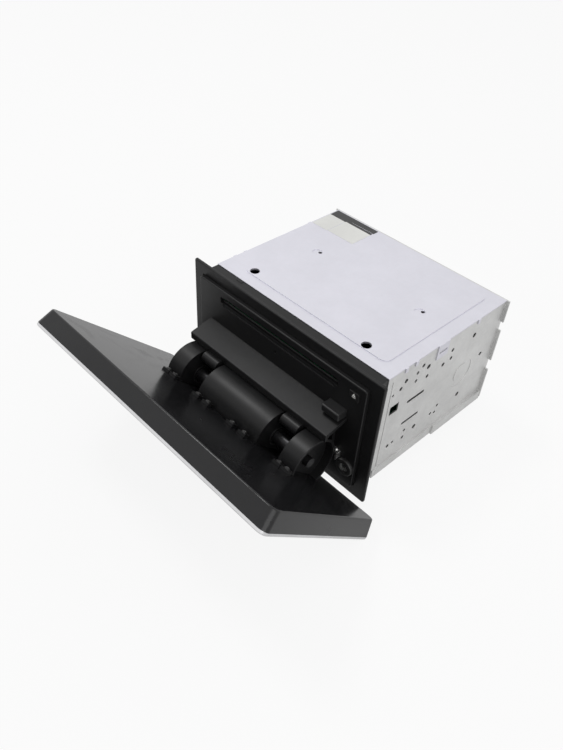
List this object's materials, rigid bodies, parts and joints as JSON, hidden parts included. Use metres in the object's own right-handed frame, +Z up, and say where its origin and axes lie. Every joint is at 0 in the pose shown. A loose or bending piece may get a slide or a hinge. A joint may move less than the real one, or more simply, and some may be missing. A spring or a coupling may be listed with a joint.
{
  "type": "car disc player",
  "caption": "Car disc player: metal box with a slot-loading drive, trim flange and front hinge pedestal that carries a wide tilting screen.",
  "frame": {"origin": "centre of the dashboard opening, on the rear face of the trim flange", "axes": "+X to the right seen from the front, +Y into the dashboard, +Z up"},
  "size_m": [0.2453, 0.2962, 0.1229],
  "materials": {
    "zinc_sheet": "satin zinc-plated sheet",
    "cover_sheet": "pale satin zinc-plated sheet",
    "inner_steel": "plain pressed steel",
    "heat_sink_alloy": "extruded, satin",
    "screw_steel": "plated",
    "screw_black": "black oxide",
    "socket_black": "moulded",
    "contact_metal": "tinned",
    "socket_metal": "nickel plated",
    "fuse_plastic": "clear amber",
    "trim_black": "fine-grained satin black",
    "key_black": "satin black",
    "felt_black": "short pile",
    "board_green": "solder resist",
    "hinge_steel": "black oxide",
    "bush_plastic": "slippery moulding",
    "housing_black": "smooth black",
    "rim_silver": "bright edge",
    "touch_glass": "dark touch glass",
    "display_black": "unlit display",
    "can_metal": "tinned can",
    "capacitor_sleeve": "printed sleeve left plain",
    "damper_rubber": "soft",
    "guide_plastic": "slippery moulding",
    "roller_rubber": "silicone sleeve",
    "gear_plastic": "natural acetal",
    "sled_plastic": "glass-filled",
    "lens_clear": "coated lens"
  },
  "bodies": {
    "console": {"antenna_socket": "socket_metal", "aux_socket": "socket_black", "blade_fuse": "fuse_plastic", "bottom_cover": "zinc_sheet", "capacitors": "capacitor_sleeve", "chassis_tray": "zinc_sheet", "disc_guide": "guide_plastic", "face_board": "board_green", "face_panel": "trim_black", "front_bracket": "inner_steel", "front_nose": "trim_black", "guide_rods": "screw_steel", "heat_sink": "heat_sink_alloy", "hinge_leaves": "hinge_steel", "hinge_pedestal": "trim_black", "hinge_shaft": "hinge_steel", "key_switches": "socket_black", "loader_dampers": "damper_rubber", "loader_deck": "inner_steel", "loader_frame": "inner_steel", "loading_motor": "can_metal", "main_board": "board_green", "pedestal_screws": "screw_steel", "port_metal": "contact_metal", "port_socket": "socket_black", "power_pins": "contact_metal", "power_socket": "socket_black", "rear_panel": "zinc_sheet", "rear_screws": "screw_steel", "rear_stud": "screw_steel", "sled_motor": "can_metal", "slot_felt": "felt_black", "spindle_motor": "can_metal", "top_cover": "cover_sheet", "trim_flange": "trim_black", "tuner_can": "can_metal"},
    "screen": {"screen_housing": "housing_black", "screen_rim": "rim_silver", "touch_glass": "touch_glass", "display_panel": "display_black", "screen_board": "board_green", "hinge_carrier": "inner_steel", "hinge_bushes": "bush_plastic", "hinge_drum": "trim_black", "hinge_knuckles": "trim_black", "cover_screws": "screw_black"},
    "eject": {"eject_key": "key_black"},
    "release": {"release_button": "key_black"},
    "reset": {"reset_plunger": "key_black"},
    "roller": {"feed_roller": "roller_rubber", "roller_shaft": "screw_steel", "roller_gear": "gear_plastic"},
    "idler": {"idler_gear": "gear_plastic"},
    "pinion": {"pinion_gear": "gear_plastic"},
    "turntable": {"turntable": "guide_plastic"},
    "clamp": {"clamp_arm": "inner_steel"},
    "puck": {"clamp_puck": "guide_plastic"},
    "sled": {"pickup_sled": "sled_plastic", "pickup_lens": "lens_clear"},
    "lead_screw": {"lead_screw": "screw_steel"}
  },
  "joints": [
    {"name": "screen_tilt", "type": "hinge", "parent": "console", "child": "screen", "pos_m": [0, -0.032, -0.018], "axis": [1, 0, 0], "range_deg": [-60, 0]},
    {"name": "eject_press", "type": "slide", "parent": "console", "child": "eject", "axis": [0, 1, 0], "range_m": [0, 0.0008], "stiffness_N_per_m": 250, "springref_m": -0.001},
    {"name": "release_press", "type": "slide", "parent": "console", "child": "release", "axis": [0, 1, 0], "range_m": [0, 0.003], "stiffness_N_per_m": 150, "springref_m": -0.002},
    {"name": "reset_press", "type": "slide", "parent": "console", "child": "reset", "axis": [0, 1, 0], "range_m": [0, 0.0008], "stiffness_N_per_m": 150, "springref_m": -0.001},
    {"name": "roller_spin", "type": "hinge", "parent": "console", "child": "roller", "pos_m": [0, 0.022, 0.0324], "axis": [1, 0, 0], "continuous": true},
    {"name": "idler_spin", "type": "hinge", "parent": "console", "child": "idler", "pos_m": [0.0675, 0.03749, 0.0284], "axis": [1, 0, 0], "continuous": true},
    {"name": "pinion_spin", "type": "hinge", "parent": "console", "child": "pinion", "pos_m": [0.0675, 0.05094, 0.0304], "axis": [1, 0, 0], "continuous": true},
    {"name": "turntable_spin", "type": "hinge", "parent": "console", "child": "turntable", "pos_m": [0, 0.087, 0.037], "axis": [0, 0, 1], "continuous": true},
    {"name": "clamp_lift", "type": "hinge", "parent": "console", "child": "clamp", "pos_m": [0, 0.14, 0.0455], "axis": [1, 0, 0], "range_deg": [0, 2.8], "stiffness_Nm_per_rad": 0.2, "springref_deg": -8.59},
    {"name": "puck_spin", "type": "hinge", "parent": "clamp", "child": "puck", "pos_m": [0, 0.087, 0.044], "axis": [0, 0, 1], "continuous": true},
    {"name": "sled_travel", "type": "slide", "parent": "console", "child": "sled", "axis": [1, 0, 0], "range_m": [0, 0.034]},
    {"name": "lead_screw_spin", "type": "hinge", "parent": "console", "child": "lead_screw", "pos_m": [0.03, 0.063, 0.029], "axis": [1, 0, 0], "range_deg": [0, 4085]}
  ],
  "couplings": [
    {"joint": "idler_spin", "follows": "roller_spin", "ratio": -0.66667},
    {"joint": "pinion_spin", "follows": "roller_spin", "ratio": 1.6},
    {"joint": "lead_screw_spin", "follows": "sled_travel", "rad_per_m": 2094.4}
  ]
}
